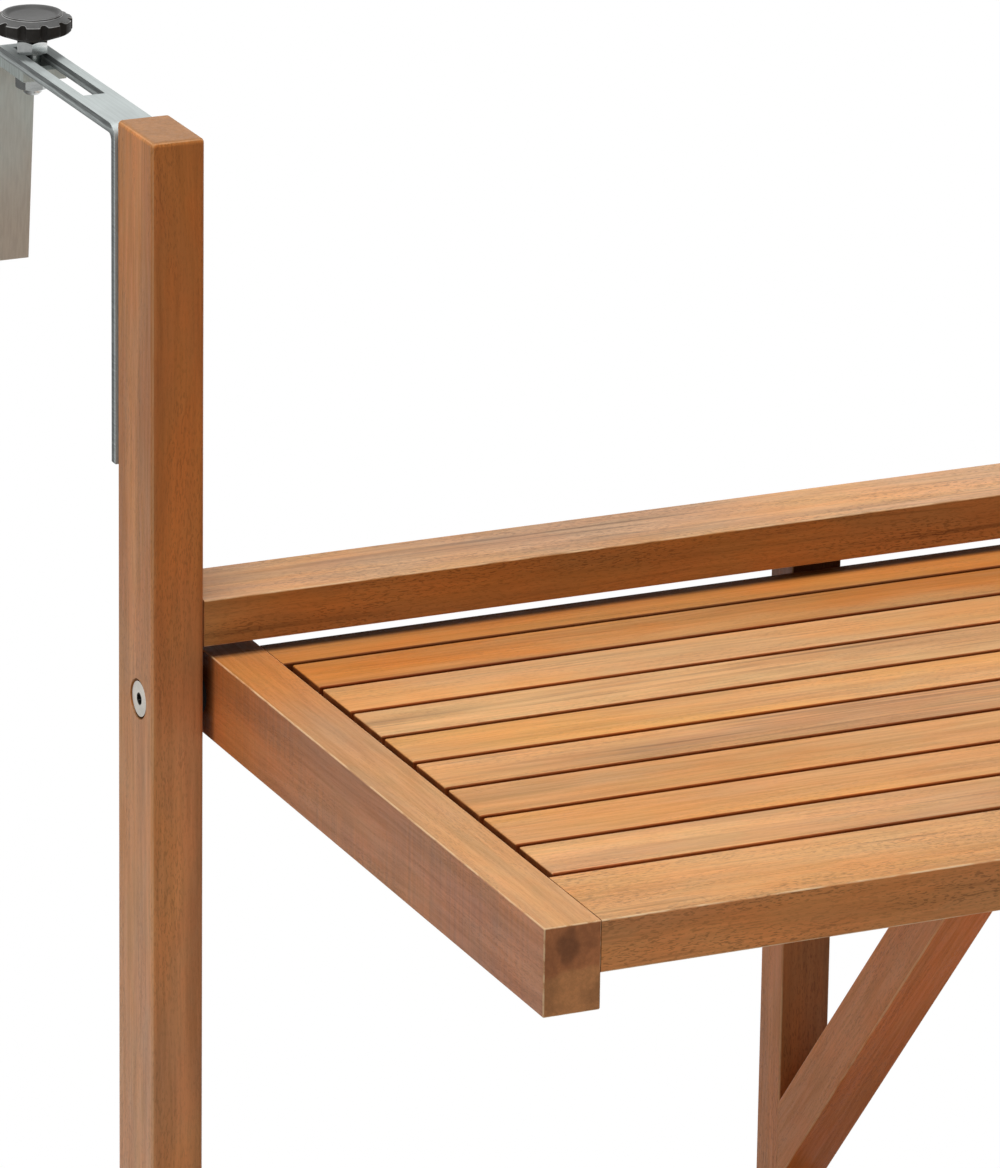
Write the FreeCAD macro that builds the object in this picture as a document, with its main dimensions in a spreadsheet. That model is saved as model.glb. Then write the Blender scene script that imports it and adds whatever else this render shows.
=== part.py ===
import FreeCAD, Part
import math
import os
import Sketcher

# Balcony railing table, millimetres, +Z up.
# The origin is where the handrail meets it: mid width, the back plane of the posts and
# the underside of the straps. -Y points to the person at the table, +Y to the railing.

doc = FreeCAD.newDocument("balcony_table")
sheet = doc.addObject("Spreadsheet::Sheet", "sizes")
nodes = []


class Size:
    """A number together with the expression that gives it from the sheet."""

    def __init__(self, value, text):
        self.value = value
        self.text = text

    def __add__(self, other):
        other = as_size(other)
        return Size(self.value + other.value, "(" + self.text + " + " + other.text + ")")

    def __sub__(self, other):
        other = as_size(other)
        return Size(self.value - other.value, "(" + self.text + " - " + other.text + ")")

    def __mul__(self, other):
        other = as_size(other)
        return Size(self.value * other.value, "(" + self.text + " * " + other.text + ")")

    def __truediv__(self, other):
        other = as_size(other)
        return Size(self.value / other.value, "(" + self.text + " / " + other.text + ")")

    def __neg__(self):
        return Size(-self.value, "(0 - " + self.text + ")")

    __radd__ = __add__
    __rmul__ = __mul__


def as_size(number):
    if isinstance(number, Size):
        return number
    return Size(float(number), repr(float(number)))


def tangent(angle):
    return Size(math.tan(math.radians(angle.value)), "tan(" + angle.text + " * 1 deg)")


def cosine(angle):
    return Size(math.cos(math.radians(angle.value)), "cos(" + angle.text + " * 1 deg)")


sheet_rows = []


def size(name, value):
    row = len(sheet_rows) + 1
    sheet.set("A" + str(row), name)
    sheet.set("B" + str(row), str(value))
    sheet.setAlias("B" + str(row), name)
    sheet_rows.append(name)
    return Size(float(value), "sizes." + name)


# Frame
frame_width = size("frame_width", 650)
post_width = size("post_width", 24)
post_depth = size("post_depth", 40)
post_rise = size("post_rise", 7.5)
post_tail = size("post_tail", 48)
post_ease = size("post_ease", 2.2)
rail_height = size("rail_height", 21)
rail_ease = size("rail_ease", 0.8)
dowel_radius = size("dowel_radius", 4)
dowel_length = size("dowel_length", 24)
dowel_inset = size("dowel_inset", 11)
dowel_spread = size("dowel_spread", 12.8)

# Tabletop, measured down from the strap undersides and forward from the posts' backs
table_drop = size("table_drop", 223.5)
rail_over_table = size("rail_over_table", 5)
table_reach = size("table_reach", 382)
table_back_setback = size("table_back_setback", 33.25)
side_rail_width = size("side_rail_width", 25)
side_rail_height = size("side_rail_height", 38)
side_rail_ease = size("side_rail_ease", 0.8)
side_rail_round = size("side_rail_round", 12)
side_rail_tail = size("side_rail_tail", 18)
post_to_table_gap = size("post_to_table_gap", 3.5)
cross_rail_thickness = size("cross_rail_thickness", 22.4)
back_rail_width = size("back_rail_width", 25.6)
front_rail_width = size("front_rail_width", 50.75)
board_gap = size("board_gap", 3)
slat_end_gap = size("slat_end_gap", 3)
slat_thickness = size("slat_thickness", 13)
slat_ease = size("slat_ease", 0.8)
rear_slats = 5
front_slats = 3
front_slat_extra = size("front_slat_extra", 2.4)
ledger_width = size("ledger_width", 18)
ledger_ease = size("ledger_ease", 0.6)
batten_width = size("batten_width", 64)
screw_shank = size("screw_shank", 1.75)
screw_head = size("screw_head", 3.5)
screw_head_height = size("screw_head_height", 2)
screw_bite = size("screw_bite", 8)

# Tabletop pivot
pivot_setback = size("pivot_setback", 23.9)
pivot_depth = size("pivot_depth", 20.6)
pivot_shank = size("pivot_shank", 4)
pivot_running_gap = size("pivot_running_gap", 0.1)
pivot_head = size("pivot_head", 7.8)
pivot_head_height = size("pivot_head_height", 3)
pivot_head_sunk = size("pivot_head_sunk", 0.5)
pivot_end_gap = size("pivot_end_gap", 2)
counterbore_gap = size("counterbore_gap", 1.2)
socket_across = size("socket_across", 5)
socket_depth = size("socket_depth", 2)
insert_radius = size("insert_radius", 6)
insert_length = size("insert_length", 16)
washer_radius = size("washer_radius", 10)
washer_side_gap = size("washer_side_gap", 0.2)

# Gate
gate_width = size("gate_width", 24)
stile_depth = size("stile_depth", 21.5)
stile_length = size("stile_length", 401.8)
gate_ease = size("gate_ease", 1)
gate_washer_height = size("gate_washer_height", 1.5)
gate_washer_radius = size("gate_washer_radius", 9)
gate_top_gap = size("gate_top_gap", 0.2)
pin_radius = size("pin_radius", 4)
pin_reach = size("pin_reach", 14)
pin_running_gap = size("pin_running_gap", 0.1)
arm_height = size("arm_height", 24)
arm_reach = size("arm_reach", 264)
arm_dowel_inset = size("arm_dowel_inset", 7)
arm_under_table_gap = size("arm_under_table_gap", 0.2)
brace_angle = size("brace_angle", 50)
brace_thickness = size("brace_thickness", 25.7)
brace_foot_drop = size("brace_foot_drop", 277.4)
stop_width = size("stop_width", 16)
stop_height = size("stop_height", 16)
stop_length = size("stop_length", 40)
stop_gap = size("stop_gap", 0.2)
stop_from_arm_end = size("stop_from_arm_end", 10)
stop_ease = size("stop_ease", 1)

# Straps, hooks and clamps
steel_width = size("steel_width", 20)
steel_thickness = size("steel_thickness", 4.5)
steel_bend = size("steel_bend", 3)
strap_overhang = size("strap_overhang", 0.7)
strap_reach = size("strap_reach", 137)
strap_drop = size("strap_drop", 150)
slot_width = size("slot_width", 10)
strap_slot_start = size("strap_slot_start", 49)
strap_slot_end = size("strap_slot_end", 132)
leg_screw_first = size("leg_screw_first", 25)
leg_screw_step = size("leg_screw_step", 50)
leg_screws = 3
leg_screw_shank = size("leg_screw_shank", 2)
leg_screw_head = size("leg_screw_head", 4)
leg_screw_head_height = size("leg_screw_head_height", 2.2)
leg_screw_length = size("leg_screw_length", 22)
hook_front = size("hook_front", 106.8)
hook_face = size("hook_face", 144)
hook_drop = size("hook_drop", 98.8)
hook_lean = size("hook_lean", 5.7)
hook_slot_margin = size("hook_slot_margin", 7)
clamp_setback = size("clamp_setback", 121.7)
clamp_shank = size("clamp_shank", 4)
clamp_head_across = size("clamp_head_across", 13)
clamp_head_height = size("clamp_head_height", 5.3)
clamp_end_reach = size("clamp_end_reach", 2.8)
clamp_end_ease = size("clamp_end_ease", 1)
clamp_head_turn = 15
clamp_washer_radius = size("clamp_washer_radius", 8)
clamp_washer_height = size("clamp_washer_height", 1.6)
nut_across = size("nut_across", 13)
nut_height = size("nut_height", 5.7)
nut_turn = -22
hex_chamfer_angle = size("hex_chamfer_angle", 30)
knob_radius = size("knob_radius", 17.4)
knob_height = size("knob_height", 12.2)
knob_foot_radius = size("knob_foot_radius", 6.5)
knob_taper_height = size("knob_taper_height", 3.9)
knob_edge = size("knob_edge", 1)
knob_shoulder_width = size("knob_shoulder_width", 4.3)
knob_shoulder_drop = size("knob_shoulder_drop", 2.7)
knob_rim_rise = size("knob_rim_rise", 1.1)
knob_rim_width = size("knob_rim_width", 1.1)
knob_dish_slope = size("knob_dish_slope", 1.9)
knob_dish_depth = size("knob_dish_depth", 1.6)
knob_dish_sag = size("knob_dish_sag", 0.5)
knob_crown = size("knob_crown", 1.4)
bolt_end_gap = size("bolt_end_gap", 0.5)
knob_scallops = 11
knob_turn = 5
scallop_radius = size("scallop_radius", 1.9)
scallop_depth = size("scallop_depth", 2)
thread_gap = size("thread_gap", 0.05)
doc.recompute()

# Extra depth that takes a cut right through, and the tolerance for finding an edge by its place
beyond = 1
near_enough = 0.1

# Places that several pieces share
half_width = frame_width / 2
table_top = -table_drop
upper_rail_bottom = table_top + rail_over_table
stile_top = upper_rail_bottom - gate_top_gap - gate_washer_height
stile_bottom = stile_top - stile_length
lower_rail_top = stile_bottom - gate_washer_height
post_bottom = lower_rail_top - rail_height - post_tail
post_length = post_rise - post_bottom
post_inner = half_width - post_width
side_outer = post_inner - post_to_table_gap
side_inner = side_outer - side_rail_width
cross_bottom = table_top - cross_rail_thickness
slat_bottom = table_top - slat_thickness
ledger_height = cross_rail_thickness - slat_thickness
back_rail_front = table_back_setback + back_rail_width
front_rail_back = table_reach - front_rail_width
slat_space = front_rail_back - back_rail_front - board_gap * (rear_slats + front_slats + 1)
rear_slat_width = (slat_space - front_slat_extra * front_slats) / (rear_slats + front_slats)
front_slat_width = rear_slat_width + front_slat_extra
gate_axis = stile_depth / 2
arm_top = cross_bottom - arm_under_table_gap
arm_bottom = arm_top - arm_height
pivot_height = table_top - pivot_depth
strap_middle = half_width + strap_overhang - steel_width / 2


def plane_of(body, role):
    for feature in body.Origin.OriginFeatures:
        if feature.Role == role:
            return feature
    return None


def bind(item, name, value):
    item.setExpression(name, as_size(value).text)


def place(item, x, y, z):
    bind(item, "Placement.Base.x", x)
    bind(item, "Placement.Base.y", y)
    bind(item, "Placement.Base.z", z)


def new_body(name, x, y, z):
    body = doc.addObject("PartDesign::Body", name)
    body.Label = name
    place(body, x, y, z)
    nodes.append(body)
    return body


def new_sketch(body, name, role, offset=0):
    sketch = body.newObject("Sketcher::SketchObject", name)
    sketch.AttachmentSupport = [(plane_of(body, role), "")]
    sketch.MapMode = "FlatFace"
    if isinstance(offset, Size) or offset != 0:
        bind(sketch, ".AttachmentOffset.Base.z", offset)
    return sketch


def pin_point(sketch, geometry, point, x, y, label):
    x = as_size(x)
    y = as_size(y)
    across = sketch.addConstraint(Sketcher.Constraint("DistanceX", -1, 1, geometry, point, x.value))
    sketch.renameConstraint(across, label + "_x")
    sketch.setExpression("Constraints." + label + "_x", x.text)
    along = sketch.addConstraint(Sketcher.Constraint("DistanceY", -1, 1, geometry, point, y.value))
    sketch.renameConstraint(along, label + "_y")
    sketch.setExpression("Constraints." + label + "_y", y.text)


def draw_outline(sketch, corners):
    corners = [(as_size(x), as_size(y)) for x, y in corners]
    count = len(corners)
    first = sketch.GeometryCount
    for index in range(count):
        here = corners[index]
        after = corners[(index + 1) % count]
        start = FreeCAD.Vector(here[0].value, here[1].value, 0)
        end = FreeCAD.Vector(after[0].value, after[1].value, 0)
        sketch.addGeometry(Part.LineSegment(start, end))
    for index in range(count):
        after = (index + 1) % count
        sketch.addConstraint(Sketcher.Constraint("Coincident", first + index, 2, first + after, 1))
    for index in range(count):
        label = "corner" + str(first + index)
        pin_point(sketch, first + index, 1, corners[index][0], corners[index][1], label)


def draw_circle(sketch, x, y, radius):
    x = as_size(x)
    y = as_size(y)
    radius = as_size(radius)
    centre = FreeCAD.Vector(x.value, y.value, 0)
    index = sketch.addGeometry(Part.Circle(centre, FreeCAD.Vector(0, 0, 1), radius.value))
    label = "circle" + str(index)
    pin_point(sketch, index, 3, x, y, label)
    ring = sketch.addConstraint(Sketcher.Constraint("Radius", index, radius.value))
    sketch.renameConstraint(ring, label + "_r")
    sketch.setExpression("Constraints." + label + "_r", radius.text)


def hexagon(across):
    """Six corners with two flats facing +X and -X."""
    half = across / 2
    long = across / math.sqrt(3)
    short = long / 2
    return [(half, short), (0, long), (-half, short), (-half, -short), (0, -long), (half, -short)]


def pad(body, sketch, length, name, symmetric=False):
    feature = body.newObject("PartDesign::Pad", name)
    feature.Profile = sketch
    if symmetric:
        feature.SideType = "Symmetric"
    bind(feature, "Length", length)
    doc.recompute()
    return feature


def cut(body, sketch, depth, name):
    """Cuts the same depth to both sides of the sketch plane."""
    feature = body.newObject("PartDesign::Pocket", name)
    feature.Profile = sketch
    feature.SideType = "Symmetric"
    bind(feature, "Length", as_size(depth) * 2)
    doc.recompute()
    return feature


def edges_along(shape, directions, test=None):
    """Names of the straight edges that run along one of the given directions."""
    names = []
    for index, edge in enumerate(shape.Edges):
        if edge.Curve.TypeId != "Part::GeomLine":
            continue
        run = edge.tangentAt(edge.FirstParameter)
        for direction in directions:
            if abs(run.dot(direction)) > 0.999 and (test is None or test(edge.CenterOfMass)):
                names.append("Edge" + str(index + 1))
    return names


def at(coordinate, place_value):
    return abs(coordinate - as_size(place_value).value) < near_enough


def ease(body, base, directions, radius, name, test=None):
    feature = body.newObject("PartDesign::Fillet", name)
    feature.Base = (base, edges_along(base.Shape, directions, test))
    bind(feature, "Radius", radius)
    doc.recompute()
    return feature


ALONG_X = FreeCAD.Vector(1, 0, 0)
ALONG_Y = FreeCAD.Vector(0, 1, 0)
ALONG_Z = FreeCAD.Vector(0, 0, 1)
EVERY_WAY = [ALONG_X, ALONG_Y, ALONG_Z]


def turn(body, kind, sketch, name):
    """A turned solid or a turned cut about the sketch's vertical axis."""
    feature = body.newObject(kind, name)
    feature.Profile = sketch
    feature.ReferenceAxis = (sketch, ["V_Axis"])
    feature.Angle = 360
    doc.recompute()
    return feature


def chamfer_hexagon(body, name, across, height, facing):
    """Rounds off the corners of a hexagon's end at the given height, as a lathe leaves them."""
    sketch = new_sketch(body, name + "_sketch", "XZ_Plane")
    flat = across / 2
    clear = across / math.sqrt(3) + beyond
    low = as_size(height) - (clear - flat) * tangent(hex_chamfer_angle) * facing
    draw_outline(sketch, [(flat, height), (clear, height), (clear, low)])
    turn(body, "PartDesign::Groove", sketch, name)


def board(name, x, y, z, width, depth, height, radius, directions):
    """A box from its low corner, with its edges along the given directions eased."""
    body = new_body(name, x, y, z)
    sketch = new_sketch(body, name + "_section", "XY_Plane")
    draw_outline(sketch, [(0, 0), (width, 0), (width, depth), (0, depth)])
    block = pad(body, sketch, height, name + "_block")
    ease(body, block, directions, radius, name + "_ease")
    return body


def holes(body, name, role, offset, circles, depth):
    sketch = new_sketch(body, name + "_sketch", role, offset)
    for x, y, radius in circles:
        draw_circle(sketch, x, y, radius)
    return cut(body, sketch, depth, name)


def rod(name, radius, length, x, y, z, direction):
    """A plain cylinder that starts at the given point and runs along the direction."""
    piece = doc.addObject("Part::Cylinder", name)
    bind(piece, "Radius", radius)
    bind(piece, "Height", length)
    piece.Placement.Rotation = FreeCAD.Rotation(ALONG_Z, FreeCAD.Vector(direction))
    place(piece, x, y, z)
    return piece


def group(name, pieces):
    """Separate solids that share one node."""
    whole = doc.addObject("Part::Compound", name)
    whole.Label = name
    whole.Links = pieces
    nodes.append(whole)
    return whole


def joined(name, pieces):
    whole = doc.addObject("Part::MultiFuse", name)
    whole.Shapes = pieces
    whole.Refine = True
    return whole


LEFT = -1
RIGHT = 1
SIDES = (("left", LEFT), ("right", RIGHT))


def low_x(side, outer, width):
    """Low X of a piece whose outer face lies at the given distance from the middle."""
    if side == LEFT:
        return -outer
    return outer - width


# Posts
rail_dowel_rows = (dowel_inset, post_depth - dowel_inset)
rail_heights = (upper_rail_bottom + rail_height / 2, lower_rail_top - rail_height / 2)
leg_screw_heights = []
for index in range(leg_screws):
    leg_screw_heights.append(steel_thickness - leg_screw_first - leg_screw_step * index)
strap_low_x = {LEFT: -half_width - strap_overhang, RIGHT: half_width + strap_overhang - steel_width}

for word, side in SIDES:
    post_x = low_x(side, half_width, post_width)
    post = board(word + "_post", post_x, -post_depth, post_bottom,
                 post_width, post_depth, post_length, post_ease, EVERY_WAY)
    inner_face = post_width if side == LEFT else as_size(0)
    outer_face = as_size(0) if side == LEFT else post_width
    pivot_at = (post_depth - pivot_setback, pivot_height - post_bottom)
    holes(post, word + "_post_bore", "YZ_Plane", 0,
          [(pivot_at[0], pivot_at[1], pivot_shank + pivot_running_gap)], post_width + beyond)
    holes(post, word + "_post_counterbore", "YZ_Plane", outer_face,
          [(pivot_at[0], pivot_at[1], pivot_head + counterbore_gap)], pivot_head_height + pivot_head_sunk)
    ends = []
    for height in rail_heights:
        for row in rail_dowel_rows:
            ends.append((row, height - post_bottom, dowel_radius))
    holes(post, word + "_post_dowel_holes", "YZ_Plane", inner_face, ends, dowel_length / 2)
    pilots = []
    screw_x = strap_low_x[side] + steel_width / 2 - post_x
    for height in leg_screw_heights:
        pilots.append((screw_x, height - post_bottom, leg_screw_shank))
    holes(post, word + "_post_pilots", "XZ_Plane", -post_depth, pilots,
          leg_screw_length - steel_thickness)

# Rails between the posts
rail_length = post_inner * 2
for name, low in (("upper_rail", upper_rail_bottom), ("lower_rail", lower_rail_top - rail_height)):
    rail = board(name, -post_inner, -post_depth, low, rail_length, post_depth, rail_height,
                 rail_ease, [ALONG_X])
    ends = [(row, rail_height / 2, dowel_radius) for row in rail_dowel_rows]
    holes(rail, name + "_left_holes", "YZ_Plane", 0, ends, dowel_length / 2)
    holes(rail, name + "_right_holes", "YZ_Plane", rail_length, ends, dowel_length / 2)
    pin_face = as_size(0) if name == "upper_rail" else rail_height
    holes(rail, name + "_pin_hole", "XY_Plane", pin_face,
          [(post_inner, post_depth - gate_axis, pin_radius + pin_running_gap)], pin_reach + beyond)

rail_dowels = []
for word, side in SIDES:
    for height in rail_heights:
        for row in rail_dowel_rows:
            start = post_inner * side - dowel_length / 2
            rail_dowels.append(rod("rail_dowel", dowel_radius, dowel_length,
                                   start, row - post_depth, height, (1, 0, 0)))
group("rail_dowels", rail_dowels)

# Steel straps on the posts: a slotted leg over the handrail and a leg down the post's back
bend_outer = steel_bend + steel_thickness
strap_screw_parts = []
for word, side in SIDES:
    strap = new_body(word + "_strap", strap_low_x[side], 0, 0)
    sketch = new_sketch(strap, word + "_strap_side", "YZ_Plane")
    draw_outline(sketch, [(0, steel_thickness), (strap_reach, steel_thickness), (strap_reach, 0),
                          (steel_thickness, 0), (steel_thickness, steel_thickness - strap_drop),
                          (0, steel_thickness - strap_drop)])
    flat = pad(strap, sketch, steel_width, word + "_strap_flat")
    outer = ease(strap, flat, [ALONG_X], bend_outer, word + "_strap_outer_bend",
                 lambda p: at(p.y, 0) and at(p.z, steel_thickness))
    ease(strap, outer, [ALONG_X], steel_bend, word + "_strap_inner_bend",
         lambda p: at(p.y, steel_thickness) and at(p.z, 0))
    sketch = new_sketch(strap, word + "_strap_slot_sketch", "XY_Plane")
    slot_low = (steel_width - slot_width) / 2
    slot_high = slot_low + slot_width
    draw_outline(sketch, [(slot_low, strap_slot_start), (slot_high, strap_slot_start),
                          (slot_high, strap_slot_end), (slot_low, strap_slot_end)])
    cut(strap, sketch, steel_thickness + beyond, word + "_strap_slot")
    spots = []
    heads = []
    for height in leg_screw_heights:
        spots.append((steel_width / 2, height, leg_screw_shank))
        heads.append((steel_width / 2, height, leg_screw_head))
    holes(strap, word + "_strap_screw_holes", "XZ_Plane", 0, spots, steel_thickness + beyond)
    holes(strap, word + "_strap_screw_seats", "XZ_Plane", -steel_thickness, heads,
          leg_screw_head_height)
    screw_x = strap_low_x[side] + steel_width / 2
    for height in leg_screw_heights:
        shank = rod("leg_screw_shank", leg_screw_shank, leg_screw_length,
                    screw_x, steel_thickness - leg_screw_length, height, (0, 1, 0))
        head = rod("leg_screw_head", leg_screw_head, leg_screw_head_height,
                   screw_x, steel_thickness - leg_screw_head_height, height, (0, 1, 0))
        strap_screw_parts.append(joined("leg_screw", [shank, head]))
group("strap_screws", strap_screw_parts)

# Hooks, clamp bolts, washers, nuts and knobs
hook_slope = tangent(hook_lean)
hook_across = steel_thickness / cosine(hook_lean)
hook_corner = hook_face + hook_across - steel_thickness * hook_slope
hook_toe = hook_face + (hook_drop - steel_thickness) * hook_slope
hook_slot_start = hook_front + hook_slot_margin
hook_slot_end = hook_face - hook_slot_margin - steel_bend
head_top = -steel_thickness - clamp_washer_height
bolt_end = -clamp_head_height - clamp_end_reach
knob_bottom = steel_thickness + nut_height
dish_height = knob_height - knob_dish_depth
bore_height = dish_height - knob_dish_sag - knob_crown
rim_outer = knob_radius - knob_shoulder_width
rim_inner = rim_outer - knob_rim_width
for word, side in SIDES:
    middle = strap_middle * side
    hook = new_body(word + "_hook", middle - steel_width / 2, 0, -steel_thickness)
    sketch = new_sketch(hook, word + "_hook_side", "YZ_Plane")
    draw_outline(sketch, [(hook_front, 0), (hook_face, 0), (hook_toe, steel_thickness - hook_drop),
                          (hook_toe + hook_across, steel_thickness - hook_drop),
                          (hook_corner, steel_thickness), (hook_front, steel_thickness)])
    flat = pad(hook, sketch, steel_width, word + "_hook_flat")
    outer = ease(hook, flat, [ALONG_X], bend_outer, word + "_hook_outer_bend",
                 lambda p: at(p.y, hook_corner) and at(p.z, steel_thickness))
    ease(hook, outer, [ALONG_X], steel_bend, word + "_hook_inner_bend",
         lambda p: at(p.y, hook_face) and at(p.z, 0))
    sketch = new_sketch(hook, word + "_hook_slot_sketch", "XY_Plane")
    draw_outline(sketch, [(slot_low, hook_slot_start), (slot_high, hook_slot_start),
                          (slot_high, hook_slot_end), (slot_low, hook_slot_end)])
    cut(hook, sketch, steel_thickness + beyond, word + "_hook_slot")

    bolt = new_body(word + "_clamp_bolt", middle, clamp_setback, head_top)
    bolt.Placement.Rotation = FreeCAD.Rotation(ALONG_Z, -clamp_head_turn * side)
    sketch = new_sketch(bolt, word + "_bolt_head_sketch", "XY_Plane", -clamp_head_height)
    draw_outline(sketch, hexagon(clamp_head_across))
    pad(bolt, sketch, clamp_head_height, word + "_bolt_head")
    chamfer_hexagon(bolt, word + "_bolt_head_edge", clamp_head_across, -clamp_head_height, -1)
    sketch = new_sketch(bolt, word + "_bolt_shank_sketch", "XY_Plane", bolt_end)
    draw_circle(sketch, 0, 0, clamp_shank)
    pad(bolt, sketch, knob_bottom + bore_height - bolt_end_gap - head_top - bolt_end,
        word + "_bolt_shank")
    sketch = new_sketch(bolt, word + "_bolt_end_sketch", "XZ_Plane")
    draw_outline(sketch, [(clamp_shank - clamp_end_ease, bolt_end), (clamp_shank + beyond, bolt_end),
                          (clamp_shank + beyond, bolt_end + clamp_end_ease + beyond)])
    turn(bolt, "PartDesign::Groove", sketch, word + "_bolt_end_edge")

    washer = new_body(word + "_clamp_washer", middle, clamp_setback, head_top)
    sketch = new_sketch(washer, word + "_washer_sketch", "XY_Plane")
    draw_circle(sketch, 0, 0, clamp_washer_radius)
    draw_circle(sketch, 0, 0, clamp_shank + thread_gap)
    pad(washer, sketch, clamp_washer_height, word + "_washer_disc")

    nut = new_body(word + "_clamp_nut", middle, clamp_setback, steel_thickness)
    nut.Placement.Rotation = FreeCAD.Rotation(ALONG_Z, -nut_turn * side)
    sketch = new_sketch(nut, word + "_nut_sketch", "XY_Plane")
    draw_outline(sketch, hexagon(nut_across))
    draw_circle(sketch, 0, 0, clamp_shank + thread_gap)
    pad(nut, sketch, nut_height, word + "_nut_block")
    chamfer_hexagon(nut, word + "_nut_top_edge", nut_across, nut_height, 1)
    chamfer_hexagon(nut, word + "_nut_bottom_edge", nut_across, 0, -1)

    knob = new_body(word + "_knob", middle, clamp_setback, knob_bottom)
    knob.Placement.Rotation = FreeCAD.Rotation(ALONG_Z, -knob_turn * side)
    sketch = new_sketch(knob, word + "_knob_profile", "XZ_Plane")
    bore = clamp_shank + thread_gap
    draw_outline(sketch, [(bore, 0), (knob_foot_radius, 0), (knob_radius - knob_edge, knob_taper_height),
                          (knob_radius, knob_taper_height + knob_edge),
                          (knob_radius, knob_height - knob_shoulder_drop),
                          (rim_outer, knob_height - knob_rim_rise), (rim_outer, knob_height),
                          (rim_inner, knob_height),
                          (rim_inner - knob_dish_slope, dish_height),
                          (0, dish_height - knob_dish_sag), (0, bore_height), (bore, bore_height)])
    turn(knob, "PartDesign::Revolution", sketch, word + "_knob_turned")
    sketch = new_sketch(knob, word + "_scallop_sketch", "XY_Plane")
    draw_circle(sketch, knob_radius + scallop_radius - scallop_depth, 0, scallop_radius)
    scallop = cut(knob, sketch, knob_height + beyond, word + "_scallop")
    pattern = knob.newObject("PartDesign::PolarPattern", word + "_scallops")
    pattern.Originals = [scallop]
    pattern.Axis = (plane_of(knob, "Z_Axis"), [""])
    pattern.Angle = 360
    pattern.Occurrences = knob_scallops
    knob.Tip = pattern
    doc.recompute()

# Tabletop rails
side_front = -table_reach
side_back = -pivot_setback + side_rail_tail
side_length = side_back - side_front
corner_rows = (table_back_setback + back_rail_width / 2, table_reach - front_rail_width / 2)
corner_height = side_rail_height - cross_rail_thickness / 2
for word, side in SIDES:
    rail_x = low_x(side, side_outer, side_rail_width)
    rail = new_body(word + "_side_rail", rail_x, side_front, table_top - side_rail_height)
    sketch = new_sketch(rail, word + "_side_rail_section", "XY_Plane")
    draw_outline(sketch, [(0, 0), (side_rail_width, 0), (side_rail_width, side_length), (0, side_length)])
    block = pad(rail, sketch, side_rail_height, word + "_side_rail_block")
    tail = ease(rail, block, [ALONG_X], side_rail_round, word + "_side_rail_tail",
                lambda p: at(p.y, side_length))
    ease(rail, tail, [ALONG_Y, ALONG_X, ALONG_Z], side_rail_ease, word + "_side_rail_ease",
         lambda p: p.y < side_length.value - side_rail_round.value - near_enough)
    inner_face = side_rail_width if side == LEFT else as_size(0)
    outer_face = as_size(0) if side == LEFT else side_rail_width
    pivot_y = -pivot_setback - side_front
    pivot_z = side_rail_height - pivot_depth
    holes(rail, word + "_insert_hole", "YZ_Plane", outer_face, [(pivot_y, pivot_z, insert_radius)],
          insert_length)
    spots = []
    for row in corner_rows:
        for shift in (-1, 1):
            spots.append((table_reach - row + dowel_spread / 2 * shift, corner_height, dowel_radius))
    holes(rail, word + "_corner_holes", "YZ_Plane", inner_face, spots, dowel_length / 2)

cross_length = side_inner * 2
for name, near, width in (("table_back_rail", back_rail_front, back_rail_width),
                          ("table_front_rail", table_reach, front_rail_width)):
    rail = board(name, -side_inner, -near, cross_bottom, cross_length, width,
                 cross_rail_thickness, side_rail_ease, [ALONG_X])
    spots = []
    for shift in (-1, 1):
        spots.append((width / 2 + dowel_spread / 2 * shift, cross_rail_thickness / 2, dowel_radius))
    holes(rail, name + "_left_holes", "YZ_Plane", 0, spots, dowel_length / 2)
    holes(rail, name + "_right_holes", "YZ_Plane", cross_length, spots, dowel_length / 2)

table_dowels = []
for word, side in SIDES:
    for row in corner_rows:
        for shift in (-1, 1):
            start = side_inner * side - dowel_length / 2
            table_dowels.append(rod("table_dowel", dowel_radius, dowel_length, start,
                                    dowel_spread / 2 * shift - row,
                                    table_top - cross_rail_thickness / 2, (1, 0, 0)))
group("table_dowels", table_dowels)

# Slats, from the back rail to the front rail
slat_half = side_inner - slat_end_gap
screw_columns = (-side_inner + ledger_width / 2, as_size(0), side_inner - ledger_width / 2)
screw_rows = []
near = back_rail_front
for index in range(rear_slats + front_slats):
    name = "slat_" + str(index + 1)
    width = rear_slat_width if index < rear_slats else front_slat_width
    near = near + board_gap + width
    slat = board(name, -slat_half, -near, slat_bottom, slat_half * 2, width, slat_thickness,
                 slat_ease, EVERY_WAY)
    spots = []
    for column in screw_columns:
        spots.append((column + slat_half, width / 2, screw_shank))
    holes(slat, name + "_pilots", "XY_Plane", 0, spots, screw_bite)
    screw_rows.append(near - width / 2)

# Ledgers and the centre batten under the slats
batten_length = front_rail_back - back_rail_front
for name, low, width in (("left_ledger", -side_inner, ledger_width),
                         ("right_ledger", side_inner - ledger_width, ledger_width),
                         ("centre_batten", -batten_width / 2, batten_width)):
    batten = board(name, low, -front_rail_back, cross_bottom, width, batten_length, ledger_height,
                   ledger_ease, [ALONG_Y])
    shanks = []
    heads = []
    for row in screw_rows:
        shanks.append((width / 2, front_rail_back - row, screw_shank))
        heads.append((width / 2, front_rail_back - row, screw_head))
    holes(batten, name + "_screw_holes", "XY_Plane", 0, shanks, ledger_height + beyond)
    holes(batten, name + "_screw_seats", "XY_Plane", 0, heads, screw_head_height)

slat_screws = []
for column in screw_columns:
    for row in screw_rows:
        shank = rod("slat_screw_shank", screw_shank, ledger_height + screw_bite,
                    column, -row, cross_bottom, (0, 0, 1))
        head = rod("slat_screw_head", screw_head, screw_head_height,
                   column, -row, cross_bottom, (0, 0, 1))
        slat_screws.append(joined("slat_screw", [shank, head]))
group("slat_screws", slat_screws)

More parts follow.
